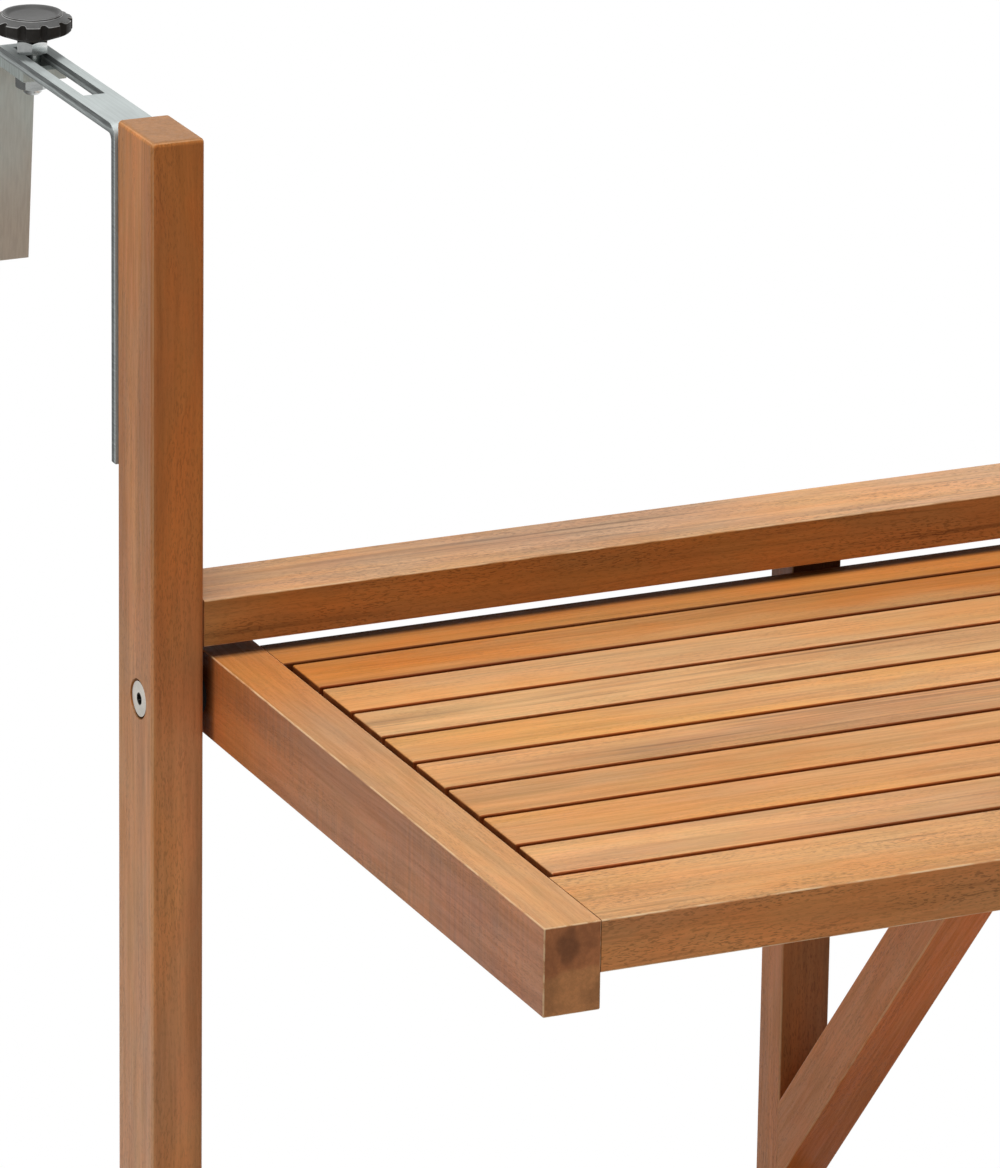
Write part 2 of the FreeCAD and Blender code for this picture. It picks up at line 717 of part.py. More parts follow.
# Pivot bolts through the posts, with washers and threaded inserts
head_outer = half_width - pivot_head_sunk
shank_end = side_outer - insert_length + pivot_end_gap
for word, side in SIDES:
    bolt = new_body(word + "_pivot_bolt", head_outer * side, -pivot_setback, pivot_height)
    bolt.Placement.Rotation = FreeCAD.Rotation(ALONG_Z, 180 if side == RIGHT else 0)
    sketch = new_sketch(bolt, word + "_pivot_head_sketch", "YZ_Plane")
    draw_circle(sketch, 0, 0, pivot_head)
    pad(bolt, sketch, pivot_head_height, word + "_pivot_head")
    sketch = new_sketch(bolt, word + "_pivot_shank_sketch", "YZ_Plane", pivot_head_height / 2)
    draw_circle(sketch, 0, 0, pivot_shank)
    pad(bolt, sketch, head_outer - shank_end - pivot_head_height / 2, word + "_pivot_shank")
    sketch = new_sketch(bolt, word + "_pivot_socket_sketch", "YZ_Plane")
    draw_outline(sketch, hexagon(socket_across))
    cut(bolt, sketch, socket_depth, word + "_pivot_socket")

    washer = new_body(word + "_pivot_washer", low_x(side, post_inner - washer_side_gap, 0),
                      -pivot_setback, pivot_height)
    washer.Placement.Rotation = FreeCAD.Rotation(ALONG_Z, 180 if side == RIGHT else 0)
    sketch = new_sketch(washer, word + "_pivot_washer_sketch", "YZ_Plane")
    draw_circle(sketch, 0, 0, washer_radius)
    draw_circle(sketch, 0, 0, pivot_shank + thread_gap)
    pad(washer, sketch, post_to_table_gap - washer_side_gap, word + "_pivot_washer_disc")

    insert = new_body(word + "_pivot_insert", low_x(side, side_outer, 0), -pivot_setback, pivot_height)
    insert.Placement.Rotation = FreeCAD.Rotation(ALONG_Z, 180 if side == RIGHT else 0)
    sketch = new_sketch(insert, word + "_insert_sketch", "YZ_Plane")
    draw_circle(sketch, 0, 0, insert_radius)
    draw_circle(sketch, 0, 0, pivot_shank + thread_gap)
    pad(insert, sketch, insert_length, word + "_insert_sleeve")

# Gate: stile on two pins, arm under the table, brace between them
gate_half = gate_width / 2
stile = board("gate_stile", -gate_half, -stile_depth, stile_bottom, gate_width, stile_depth,
              stile_length, gate_ease, EVERY_WAY)
holes(stile, "gate_stile_lower_pin", "XY_Plane", 0,
      [(gate_half, stile_depth - gate_axis, pin_radius)], pin_reach + gate_washer_height)
holes(stile, "gate_stile_upper_pin", "XY_Plane", stile_length,
      [(gate_half, stile_depth - gate_axis, pin_radius)], pin_reach + gate_washer_height)

arm_end = gate_axis + arm_reach
arm_length = arm_end - stile_depth
arm = board("gate_arm", -gate_half, -arm_end, arm_bottom, gate_width, arm_length, arm_height,
            gate_ease, [ALONG_Y])

# The brace runs from its foot on the stile up to the arm
slope = tangent(brace_angle)
foot_low = table_top - brace_foot_drop - brace_thickness / cosine(brace_angle) / 2
foot_high = foot_low + brace_thickness / cosine(brace_angle)
toe_near = stile_depth + (arm_bottom - foot_low) / slope
toe_far = stile_depth + (arm_bottom - foot_high) / slope
brace = new_body("gate_brace", 0, 0, 0)
sketch = new_sketch(brace, "gate_brace_side", "YZ_Plane")
draw_outline(sketch, [(-stile_depth, foot_low), (-toe_near, arm_bottom),
                      (-toe_far, arm_bottom), (-stile_depth, foot_high)])
block = pad(brace, sketch, gate_width, "gate_brace_block", True)
run = math.radians(brace_angle.value)
ease(brace, block, [FreeCAD.Vector(0, -math.cos(run), math.sin(run))], gate_ease, "gate_brace_ease")

# Dowels of the gate: arm to stile, brace to stile and brace to arm
arm_dowel_heights = (arm_bottom + arm_dowel_inset, arm_top - arm_dowel_inset)
brace_foot_middle = (foot_low + foot_high) / 2
brace_toe_middle = (toe_near + toe_far) / 2
gate_dowel_reach = dowel_length / 2
gate_dowels = []
for height in arm_dowel_heights:
    gate_dowels.append(rod("arm_dowel", dowel_radius, dowel_length, 0,
                           -stile_depth - gate_dowel_reach, height, (0, 1, 0)))
gate_dowels.append(rod("foot_dowel", dowel_radius, dowel_length, 0,
                       -stile_depth - gate_dowel_reach, brace_foot_middle, (0, 1, 0)))
gate_dowels.append(rod("toe_dowel", dowel_radius, dowel_length, 0, -brace_toe_middle,
                       arm_bottom - gate_dowel_reach, (0, 0, 1)))
group("gate_dowels", gate_dowels)

spots = [(gate_half, height - stile_bottom, dowel_radius) for height in arm_dowel_heights]
spots.append((gate_half, brace_foot_middle - stile_bottom, dowel_radius))
holes(stile, "gate_stile_dowel_holes", "XZ_Plane", 0, spots, gate_dowel_reach)
spots = [(gate_half, height - arm_bottom, dowel_radius) for height in arm_dowel_heights]
holes(arm, "gate_arm_end_holes", "XZ_Plane", -arm_length, spots, gate_dowel_reach)
holes(arm, "gate_arm_toe_hole", "XY_Plane", 0,
      [(gate_half, arm_end - brace_toe_middle, dowel_radius)], gate_dowel_reach)
holes(brace, "gate_brace_foot_hole", "XZ_Plane", stile_depth,
      [(0, brace_foot_middle, dowel_radius)], gate_dowel_reach)
holes(brace, "gate_brace_toe_hole", "XY_Plane", arm_bottom,
      [(0, -brace_toe_middle, dowel_radius)], gate_dowel_reach)

# Gate pins and washers
pin_length = pin_reach * 2 + gate_washer_height
gate_pins = []
gate_pins.append(rod("upper_pin", pin_radius, pin_length + gate_top_gap, 0, -gate_axis,
                     stile_top - pin_reach, (0, 0, 1)))
gate_pins.append(rod("lower_pin", pin_radius, pin_length, 0, -gate_axis,
                     lower_rail_top - pin_reach, (0, 0, 1)))
group("gate_pins", gate_pins)

gate_washers = []
for low in (stile_top + gate_top_gap, lower_rail_top):
    disc = rod("gate_washer_disc", gate_washer_radius, gate_washer_height, 0, -gate_axis, low, (0, 0, 1))
    hole = rod("gate_washer_hole", pin_radius + pin_running_gap, gate_washer_height + 2 * beyond,
               0, -gate_axis, low - beyond, (0, 0, 1))
    ring = doc.addObject("Part::Cut", "gate_washer")
    ring.Base = disc
    ring.Tool = hole
    gate_washers.append(ring)
group("gate_washers", gate_washers)

# Stop that the open gate rests against, on the underside of the centre batten
board("gate_stop", gate_half + stop_gap, -arm_end + stop_from_arm_end, cross_bottom - stop_height,
      stop_width, stop_length, stop_height, stop_ease, [ALONG_Y, ALONG_Z])

doc.recompute()

os.makedirs("parts", exist_ok=True)
for item in doc.Objects:
    for word in ("Invalid", "Error"):
        if word in item.State:
            raise RuntimeError(item.Name + " is " + word)
for node in nodes:
    if node.Shape.isNull() or not node.Shape.isValid():
        raise RuntimeError(node.Label + " has no valid shape")
for node in nodes:
    node.Shape.exportStep("parts/" + node.Label + ".step")
print(len(nodes), "pieces written")
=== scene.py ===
import math

import bpy
from mathutils import Matrix, Vector


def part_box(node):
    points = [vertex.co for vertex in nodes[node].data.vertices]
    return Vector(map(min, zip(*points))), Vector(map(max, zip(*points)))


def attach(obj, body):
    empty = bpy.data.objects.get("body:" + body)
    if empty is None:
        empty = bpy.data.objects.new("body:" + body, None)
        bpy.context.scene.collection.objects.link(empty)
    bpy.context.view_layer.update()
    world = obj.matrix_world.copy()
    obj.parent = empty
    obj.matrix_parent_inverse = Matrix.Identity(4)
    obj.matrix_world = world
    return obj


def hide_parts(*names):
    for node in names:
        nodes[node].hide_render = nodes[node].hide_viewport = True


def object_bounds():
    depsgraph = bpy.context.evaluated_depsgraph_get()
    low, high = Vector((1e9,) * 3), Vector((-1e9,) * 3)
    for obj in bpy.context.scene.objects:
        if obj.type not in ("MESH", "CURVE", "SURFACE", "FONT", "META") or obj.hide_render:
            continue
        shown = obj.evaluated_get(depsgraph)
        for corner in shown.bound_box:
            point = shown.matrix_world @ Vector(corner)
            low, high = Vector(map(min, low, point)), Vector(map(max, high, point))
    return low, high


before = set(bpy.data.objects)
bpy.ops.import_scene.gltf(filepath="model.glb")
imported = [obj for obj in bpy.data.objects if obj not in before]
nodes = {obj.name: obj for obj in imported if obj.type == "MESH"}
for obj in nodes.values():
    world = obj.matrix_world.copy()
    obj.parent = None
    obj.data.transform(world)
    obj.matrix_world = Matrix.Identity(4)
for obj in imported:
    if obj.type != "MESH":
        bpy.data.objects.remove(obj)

cad_low, cad_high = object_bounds()
WHITE = (1.0, 1.0, 1.0, 1.0)


class Web:
    """The shader nodes of a material or world, and short ways to add and join them."""

    def __init__(self, owner):
        owner.use_nodes = True
        self.owner = owner
        self.tree = owner.node_tree
        self.surface = self.tree.nodes.get("Principled BSDF")

    def feed(self, socket, value):
        if isinstance(value, bpy.types.NodeSocket):
            self.tree.links.new(value, socket)
        else:
            socket.default_value = value

    def node(self, kind, inputs=None, **settings):
        made = self.tree.nodes.new(kind)
        for key, value in settings.items():
            setattr(made, key, value)
        for key, value in (inputs or {}).items():
            self.feed(made.inputs[key], value)
        return made

    def math(self, operation, a, b=0.0):
        return self.node("ShaderNodeMath", {0: a, 1: b}, operation=operation).outputs[0]

    def vector(self, operation, a, b=(0.0, 0.0, 0.0)):
        return self.node("ShaderNodeVectorMath", {0: a, 1: b}, operation=operation).outputs[0]

    def split(self, vector):
        return self.node("ShaderNodeSeparateXYZ", {0: vector}).outputs

    def distance(self, u, v, centre):
        """How far the point (u, v) lies from the centre."""
        off_u = self.math("SUBTRACT", u, centre[0])
        off_v = self.math("SUBTRACT", v, centre[1])
        squares = self.math("ADD", self.math("MULTIPLY", off_u, off_u), self.math("MULTIPLY", off_v, off_v))
        return self.math("SQRT", squares)

    def smooth(self, value, low, high, to_low=0.0, to_high=1.0):
        """A soft step from to_low, where the value is low, to to_high, where it is high."""
        steps = {"Value": value, "From Min": low, "From Max": high, "To Min": to_low, "To Max": to_high}
        return self.node("ShaderNodeMapRange", steps, interpolation_type="SMOOTHSTEP").outputs["Result"]

    def noise(self, point, waves, detail=2.0, roughness=0.5, distortion=0.0, output="Fac"):
        """Noise with so many waves in a metre along each axis."""
        made = self.node("ShaderNodeTexNoise", {"Vector": self.vector("MULTIPLY", point, waves),
                                                "Scale": 1.0, "Detail": detail,
                                                "Roughness": roughness, "Distortion": distortion})
        return made.outputs[output]

    def mix(self, factor, a, b):
        """Colour a where the factor is 0, and b where it is 1."""
        return self.node("ShaderNodeMix", {0: factor, 6: a, 7: b}, data_type="RGBA").outputs[2]

    def mix_shaders(self, factor, a, b):
        return self.node("ShaderNodeMixShader", {0: factor, 1: a, 2: b}).outputs[0]

    def shade(self, colour, factor):
        """The colour times a grey factor or another colour."""
        return self.vector("MULTIPLY", colour, factor)

    def tint(self, colour, mask, factors):
        """The colour times three factors where the mask is 1."""
        return self.shade(colour, self.mix(mask, WHITE, (*factors, 1.0)))

    def darken(self, colour, mask, share):
        """The colour less a share of it where the mask is 1."""
        return self.shade(colour, self.math("SUBTRACT", 1.0, self.math("MULTIPLY", mask, share)))

    def seen_directly(self):
        """1 for what the camera sees straight, in gloss or through glass."""
        path = self.node("ShaderNodeLightPath").outputs
        total = path["Is Camera Ray"]
        for name in ("Is Glossy Ray", "Is Transmission Ray"):
            total = self.math("MAXIMUM", total, path[name])
        return total

    def set(self, **values):
        """Feed the surface's inputs, with _ for each space in their names."""
        for key, value in values.items():
            self.feed(self.surface.inputs[key.replace("_", " ")], value)

    def bump(self, height, strength, distance):
        made = self.node("ShaderNodeBump", {"Height": height, "Strength": strength, "Distance": distance})
        self.set(Normal=made.outputs["Normal"])

    def show(self, output, shader):
        self.feed(self.tree.nodes[output].inputs["Surface"], shader)


def linear(red, green, blue):
    """A linear colour from the 0 to 255 values of a picture."""
    made = []
    for value in (red, green, blue):
        share = value / 255
        made.append(share / 12.92 if share <= 0.04045 else ((share + 0.055) / 1.055) ** 2.4)
    return tuple(made)


def scaled(colour, factor):
    return (*(min(1.0, value * factor) for value in colour), 1.0)


# Grain directions, as the turn that brings a board's length to X
ALONG_X = (0.0, 0.0, 0.0)
ALONG_Y = (0.0, 0.0, -math.pi / 2)
ALONG_Z = (0.0, math.pi / 2, 0.0)

WOOD_GLOSS = 0.17
PLASTIC_GLOSS = 0.1
# Pale edge colour: worn wood and a painted highlight
WORN_AND_HIGHLIT = linear(232, 196, 152)
END = linear(182, 123, 76)
WARM_FLECK = (1.035, 0.985, 0.95, 1.0)
COOL_FLECK = (0.97, 1.01, 1.03, 1.0)
KNOT_STAIN = (0.84, 0.72, 0.72)
KNOT_REACH = 0.0085
SAW_STAIN = (0.8, 0.86, 0.96)
# The y at which the painted shadow of the upper rail on the table starts, and where it is full
RAIL_SHADOW_EDGE = (-0.0445, -0.0395)  # the y at which the upper rail starts to cover the table, and covers it


def figured(web, point, tone, second, figure, dashes, lines):
    """The colour of a board along its grain, the noise of its fibres and the mask of its pores."""
    clouds = web.noise(point, (6.0, 26.0, 26.0), 3.0, 0.55)
    bands = web.noise(point, (2.2, 62.0, 62.0), 4.0, 0.6)
    broad = web.noise(point, (4.0, 9.0, 9.0), 1.0)
    flecks = web.noise(point, (26.0, 85.0, 85.0), 3.0, 0.6, 0.3)
    fibres = web.noise(point, (26.0, 620.0, 620.0), 3.0, 0.6)
    colour = web.mix(web.smooth(clouds, 0.34, 0.66), scaled(tone, 1.0), scaled(second, 1.0))
    colour = web.shade(colour, web.smooth(bands, 0.34, 0.66, 1 - 0.13 * figure, 1 + 0.1 * figure))
    colour = web.shade(colour, web.smooth(broad, 0.3, 0.7, 0.93, 1.07))
    colour = web.shade(colour, web.mix(web.smooth(flecks, 0.35, 0.65), WARM_FLECK, COOL_FLECK))
    colour = web.shade(colour, web.smooth(fibres, 0.36, 0.68, 1.05, 0.92))

    dots = web.noise(point, (360.0, 1700.0, 1700.0), 1.0)
    gather = web.noise(point, (11.0, 70.0, 70.0))
    pores = web.math("MULTIPLY", web.smooth(dots, 0.52, 0.64), web.smooth(gather, 0.4, 0.62, 0.35, 1.0))
    colour = web.darken(colour, pores, 0.42 * dashes)
    threads = web.noise(point, (3.2, 240.0, 240.0), 2.0, 0.6)
    streaks = web.math("MULTIPLY", web.smooth(threads, 0.55, 0.68), web.smooth(clouds, 0.38, 0.6, 0.2, 1.0))
    colour = web.darken(colour, streaks, 0.4 * lines)
    return colour, fibres, pores


def end_grain(web, point, spot, end, blotch, knot):
    """The colour of a board's ends. A knot darkens what is round it and reddens all but the foot."""
    specks = web.noise(point, (200.0, 520.0, 520.0), 3.0, 0.65)
    blots = web.noise(point, (60.0, 85.0, 85.0))
    colour = web.mix(web.smooth(blots, 0.4, 0.62), scaled(end, 1.1), scaled(end, blotch))
    colour = web.shade(colour, web.smooth(specks, 0.36, 0.66, 0.9, 1.06))
    if knot:
        height = web.math("SUBTRACT", spot[2], knot[1])
        height = web.math("ADD", height, web.smooth(blots, 0.3, 0.7, -0.002, 0.002))
        colour = web.tint(colour, web.smooth(height, -0.013, -0.01), KNOT_STAIN)
        away = web.distance(web.math("ABSOLUTE", spot[0]), spot[2], knot)
        away = web.math("ADD", away, web.smooth(blots, 0.3, 0.7, -0.0055, 0.0055))
        colour = web.shade(colour, web.smooth(away, 0.0, KNOT_REACH, 0.5, 1.0))
    return colour


def wood(name, grain, tone, second, seed, end=END, side=(1.0, 1.0, 1.0), side_from=0.6, fade=None,
         figure=1.0, dashes=0.4, lines=0.3, wear_and_highlight=0.4, wear_and_highlight_from=(0.985, 0.92), saw_marks=0.0, blotch=0.75,
         end_knot=None, painted_rail_shadow=0.0):
    """Oiled hardwood whose grain runs along one axis of the board.

    side tints the faces to the board's sides, from a share of the normal on, as painted shade and
    sheen, and fade tints one end of the board. figure, dashes and lines are the strength of the bands,
    pores and streaks, wear_and_highlight is that of the pale edges, worn and with a painted highlight,
    where the normal leaves the axes by wear_and_highlight_from, and saw_marks that of the sides' marks
    across the grain. blotch is how dark the end grain's blots are, end_knot is the place of a dark mark
    there, as |x| and z, and painted_rail_shadow paints the upper rail's shadow on what lies under it.
    """
    web = Web(bpy.data.materials.new(name))
    source = web.node("ShaderNodeTexCoord").outputs
    place = web.node("ShaderNodeMapping", {"Vector": source["Object"], "Rotation": grain,
                                           "Location": (seed * 1.37, seed * 0.73, seed * 0.41)})
    point = place.outputs["Vector"]
    drift = web.noise(point, (3.0, 12.0, 12.0), output="Color")
    drift = web.vector("MULTIPLY", web.vector("SUBTRACT", drift, (0.5, 0.5, 0.5)), (0.0, 0.014, 0.014))
    point = web.vector("ADD", point, drift)
    colour, fibres, pores = figured(web, point, tone, second, figure, dashes, lines)

    spot = web.split(source["Object"])
    if fade:
        start, stop, tint = fade
        colour = web.tint(colour, web.smooth(spot[2 if grain == ALONG_Z else 1], start, stop), tint)
    # Painted shadow of the upper rail, darkening what lies under it
    if painted_rail_shadow:
        colour = web.shade(colour, web.smooth(spot[1], *RAIL_SHADOW_EDGE, 1.0, 1.0 - painted_rail_shadow))

    turned = web.node("ShaderNodeMapping", {"Vector": source["Normal"], "Rotation": grain},
                      vector_type="NORMAL").outputs["Vector"]
    facing = web.split(web.vector("ABSOLUTE", turned))
    # Painted shade and sheen: the faces to the board's sides are tinted as they look under the light
    colour = web.tint(colour, web.smooth(facing[1], side_from, side_from + 0.25), side)
    ends = end_grain(web, point, spot, end, blotch, end_knot)
    colour = web.mix(web.smooth(facing[0], 0.7, 0.96), colour, ends)
    # Pale edges: partly worn, partly a painted highlight along the eased edges
    if wear_and_highlight:
        flatness = web.math("MAXIMUM", web.math("MAXIMUM", facing[0], facing[1]), facing[2])
        patches = web.noise(point, (55.0, 300.0, 300.0), 3.0, 0.6)
        worn_and_highlit = web.math("MULTIPLY", web.smooth(flatness, *wear_and_highlight_from),
                        web.smooth(patches, 0.36, 0.6, 0.15, wear_and_highlight))
        colour = web.mix(worn_and_highlit, colour, scaled(WORN_AND_HIGHLIT, 1.0))

    height = web.math("ADD", web.math("MULTIPLY", fibres, -0.6), web.math("MULTIPLY", pores, -0.5))
    if saw_marks:
        across = web.noise(point, (360.0, 6.0, 6.0))
        patches = web.noise(point, (9.0, 30.0, 30.0), 1.0)
        sawn = web.math("MULTIPLY", web.smooth(patches, 0.4, 0.6, 0.1, saw_marks),
                        web.smooth(facing[1], 0.8, 0.95))
        marks = web.math("MULTIPLY", web.smooth(across, 0.35, 0.7), sawn)
        colour = web.tint(colour, marks, SAW_STAIN)
        height = web.math("ADD", height, web.math("MULTIPLY", marks, -0.6))
    web.set(Base_Color=colour, Roughness=web.smooth(fibres, 0.3, 0.7, 0.42, 0.56),
            Specular_IOR_Level=WOOD_GLOSS)
    web.bump(height, 0.3, 0.0004)
    return web.owner


def seam_shadow(web, spot):
    """Painted shade along half of a strap's cut edges: the upper half on top, and the rear half below."""
    top = web.math("MULTIPLY", web.smooth(spot[2], 0.0016, 0.0028), web.smooth(spot[1], 0.003, 0.005))
    back = web.math("MULTIPLY", web.smooth(spot[2], 0.002, -0.001), web.smooth(spot[1], 0.001, 0.002))
    return web.smooth(web.math("MAXIMUM", top, back), 0.0, 1.0, 1.0, 0.42)


def zinc(name, tone, roughness, grain, mottle=0.06, edge=1.0, painted_facet_shade=1.0, fade=None, painted_seam_shade=False, socket=None):
    """Zinc-plated steel with rolling marks along one axis.

    edge dulls the cut faces to the sides, and painted_seam_shade paints shade on half of each.
    painted_facet_shade paints shade on the flats of a hexagon that face -x, fade tints the lower end,
    and socket is the y, z and radius of a hole painted dark as its shade.
    """
    web = Web(bpy.data.materials.new(name))
    source = web.node("ShaderNodeTexCoord").outputs
    place = web.node("ShaderNodeMapping", {"Vector": source["Object"], "Rotation": grain})
    point = place.outputs["Vector"]
    rolled = web.noise(point, (25.0, 900.0, 900.0), 3.0, 0.6)
    stains = web.noise(point, (38.0, 60.0, 60.0), 3.0, 0.55, 0.4)
    colour = web.mix(web.smooth(stains, 0.32, 0.66), scaled(tone, 1 - mottle), scaled(tone, 1 + mottle))
    colour = web.shade(colour, web.smooth(rolled, 0.35, 0.65, 0.94, 1.03))
    facing_x = web.split(source["Normal"])[0]
    spot = web.split(source["Object"])
    if edge < 1.0:
        torn = web.noise(point, (60.0, 1400.0, 1400.0), 3.0, 0.7)
        dull = web.math("MULTIPLY", web.smooth(torn, 0.35, 0.65, 0.75, 1.25), edge)
        # Painted shade on half of each cut face
        if painted_seam_shade:
            dull = web.math("MULTIPLY", dull, seam_shadow(web, spot))
        cut = web.smooth(web.math("ABSOLUTE", facing_x), 0.6, 0.8)
        colour = web.mix(cut, colour, web.shade(colour, dull))
    # Painted shade on the flats that face -x
    if painted_facet_shade < 1.0:
        colour = web.shade(colour, web.smooth(facing_x, -1.0, 0.2, painted_facet_shade, 1.0))
    if fade:
        start, stop, tint = fade
        colour = web.tint(colour, web.smooth(spot[2], start, stop), tint)
    # Painted shade: a dark disc for the bolt's socket
    if socket:
        *centre, radius = socket
        away = web.distance(spot[1], spot[2], centre)
        colour = web.shade(colour, web.smooth(away, radius, radius * 1.15, 0.12, 1.0))
    web.set(Base_Color=colour, Metallic=1.0,
            Roughness=web.smooth(stains, 0.3, 0.7, roughness * 0.88, roughness * 1.15))
    web.bump(rolled, 0.1, 0.0002)
    return web.owner


def plastic(name, tone, roughness, dust_and_sheen_tone=None):
    """Moulded plastic with a fine grained skin, dust and painted sheen on what looks up and rubbed edges with
    painted highlights.
    """
    web = Web(bpy.data.materials.new(name))
    source = web.node("ShaderNodeTexCoord").outputs
    point = source["Object"]
    skin = web.noise(point, (2400.0, 2400.0, 2400.0))
    dust = web.noise(point, (120.0, 120.0, 120.0), 4.0, 0.65)
    colour = web.mix(web.smooth(dust, 0.35, 0.75), scaled(tone, 0.85), scaled(tone, 1.35))
    # Dust and a painted sheen on what looks up
    if dust_and_sheen_tone:
        upward = web.split(source["Normal"])[2]
        dust_and_sheen = web.math("MULTIPLY", web.smooth(upward, 0.4, 0.97), web.smooth(dust, 0.3, 0.7, 0.7, 1.0))
        colour = web.mix(dust_and_sheen, colour, scaled(dust_and_sheen_tone, 1.0))
        # Pale edges: rubbed, and a painted highlight
        edges = web.math("MULTIPLY", web.smooth(upward, 0.12, 0.35), web.smooth(upward, 0.74, 0.6))
        rubbed_and_highlit = web.math("MULTIPLY", edges, web.smooth(dust, 0.3, 0.6, 0.4, 1.0))
        colour = web.mix(rubbed_and_highlit, colour, scaled(dust_and_sheen_tone, 4.0))
    web.set(Base_Color=colour, Specular_IOR_Level=PLASTIC_GLOSS,
            Roughness=web.smooth(dust, 0.3, 0.7, roughness * 0.9, roughness * 1.15))
    web.bump(skin, 0.25, 0.0002)
    return web.owner


def paint(node, material):
    materials = nodes[node].data.materials
    materials.clear()
    materials.append(material)


# Wood: grain direction, two tones and seed of each board, and what sets it apart
# Painted shade of the gaps: the slats' sides and ends, which look into them, are tinted dark
PAINTED_GAP_SHADE = {"side": (0.6, 0.3, 0.17), "side_from": 0.35, "wear_and_highlight": 0.0, "end": linear(160, 92, 46)}
# The side tints below are painted shade and sheen on the faces to each board's sides
POST = {"side": (0.925, 0.80, 0.63), "fade": (-0.06, -0.42, (1.12, 1.40, 2.15)), "end": linear(165, 119, 80),
        "figure": 1.3, "dashes": 0.5, "lines": 0.15, "wear_and_highlight": 0.3, "wear_and_highlight_from": (0.83, 0.75), "blotch": 1.0}
# The side rails' back ends, under the upper rail, carry its painted shadow
SIDE_RAIL = {"side": (0.98, 0.81, 0.87), "fade": (-0.06, -0.17, (0.92, 1.21, 1.93)), "figure": 0.9,
             "wear_and_highlight": 0.8, "saw_marks": 0.7, "blotch": 0.8, "end_knot": (0.287, -0.2325), "painted_rail_shadow": 0.6,
             "end": linear(198, 134, 83)}
UPPER_RAIL = {"side": (0.88, 0.72, 0.43), "figure": 1.3, "dashes": 0.9, "lines": 0.9, "wear_and_highlight": 0.8}
LOWER_RAIL = {"side": (0.88, 0.78, 0.6), "figure": 1.1, "dashes": 0.6, "lines": 0.5}
# The back rail's sides carry the painted shade of the gap, and its top the upper rail's painted shadow
BACK_RAIL = {"side": (0.5, 0.35, 0.3), "side_from": 0.35, "wear_and_highlight": 0.0, "painted_rail_shadow": 0.8}
FRONT_RAIL = {"side": (1.15, 0.92, 0.8), "dashes": 0.9, "lines": 0.7, "wear_and_highlight": 1.0, "wear_and_highlight_from": (0.998, 0.93)}
# The stile's fade paints shade dark on its top, in the slit under the upper rail
STILE = {"side": (0.85, 0.85, 0.74), "fade": (-0.262, -0.236, (0.35, 0.3, 0.25)), "figure": 1.1,
         "dashes": 0.6}
BRACE = {"side": (0.98, 1.4, 2.8), "figure": 0.6, "dashes": 0.5, "lines": 0.1}
ALONG_BRACE = (math.radians(50), 0.0, -math.pi / 2)
BOARDS = {
    "left_post": (ALONG_Z, linear(216, 141, 78), linear(204, 136, 84), 1, POST),
    "right_post": (ALONG_Z, linear(216, 141, 76), linear(202, 134, 80), 2, POST),
    "upper_rail": (ALONG_X, linear(214, 158, 106), linear(198, 154, 118), 3, UPPER_RAIL),
    "lower_rail": (ALONG_X, linear(206, 142, 88), linear(192, 138, 96), 4, LOWER_RAIL),
    "left_side_rail": (ALONG_Y, linear(209, 135, 69), linear(199, 131, 75), 5, SIDE_RAIL),
    "right_side_rail": (ALONG_Y, linear(206, 134, 70), linear(200, 131, 72), 6, SIDE_RAIL),
    "table_back_rail": (ALONG_X, linear(190, 116, 50), linear(184, 124, 66), 7, BACK_RAIL),
    "table_front_rail": (ALONG_X, linear(213, 150, 89), linear(205, 152, 99), 8, FRONT_RAIL),
    "slat_1": (ALONG_X, linear(192, 118, 52), linear(192, 136, 82), 9, {"figure": 1.3, "lines": 0.4}),
    "slat_2": (ALONG_X, linear(218, 155, 93), linear(211, 159, 108), 10, {"figure": 0.9}),
    "slat_3": (ALONG_X, linear(214, 166, 112), linear(194, 142, 94), 11, {"figure": 1.4, "lines": 0.9}),
    "slat_4": (ALONG_X, linear(222, 157, 86), linear(211, 157, 104), 12, {"figure": 1.0}),
    "slat_5": (ALONG_X, linear(225, 164, 102), linear(207, 151, 102), 13, {"figure": 1.3, "lines": 0.8}),
    "slat_6": (ALONG_X, linear(208, 152, 98), linear(204, 142, 80), 14, {"figure": 1.0}),
    "slat_7": (ALONG_X, linear(228, 158, 85), linear(218, 156, 98), 15, {"figure": 1.0}),
    "slat_8": (ALONG_X, linear(217, 162, 104), linear(208, 153, 106), 16, {"figure": 1.3, "lines": 0.5}),
    "left_ledger": (ALONG_Y, linear(190, 124, 70), linear(182, 126, 80), 17, {}),
    "right_ledger": (ALONG_Y, linear(190, 124, 70), linear(182, 126, 80), 18, {}),
    "centre_batten": (ALONG_Y, linear(192, 126, 72), linear(184, 128, 82), 19, {}),
    "gate_stop": (ALONG_Y, linear(194, 128, 74), linear(186, 130, 84), 20, {}),
    "gate_stile": (ALONG_Z, linear(195, 127, 77), linear(184, 123, 83), 21, STILE),
    "gate_arm": (ALONG_Y, linear(205, 109, 41), linear(195, 107, 44), 22, BRACE),
    "gate_brace": (ALONG_BRACE, linear(209, 111, 41), linear(198, 108, 44), 23, BRACE),
}
for board, (grain, tone, second, seed, traits) in BOARDS.items():
    # The slats take the painted shade of the gaps
    if board.startswith("slat"):
        traits = {**PAINTED_GAP_SHADE, **traits}
    paint(board, wood(board + "_wood", grain, tone, second, seed, **traits))
beech = wood("dowel_beech", ALONG_X, linear(214, 178, 128), linear(200, 160, 110), 30, linear(190, 150, 100))
for dowels in ("rail_dowels", "table_dowels", "gate_dowels"):
    paint(dowels, beech)

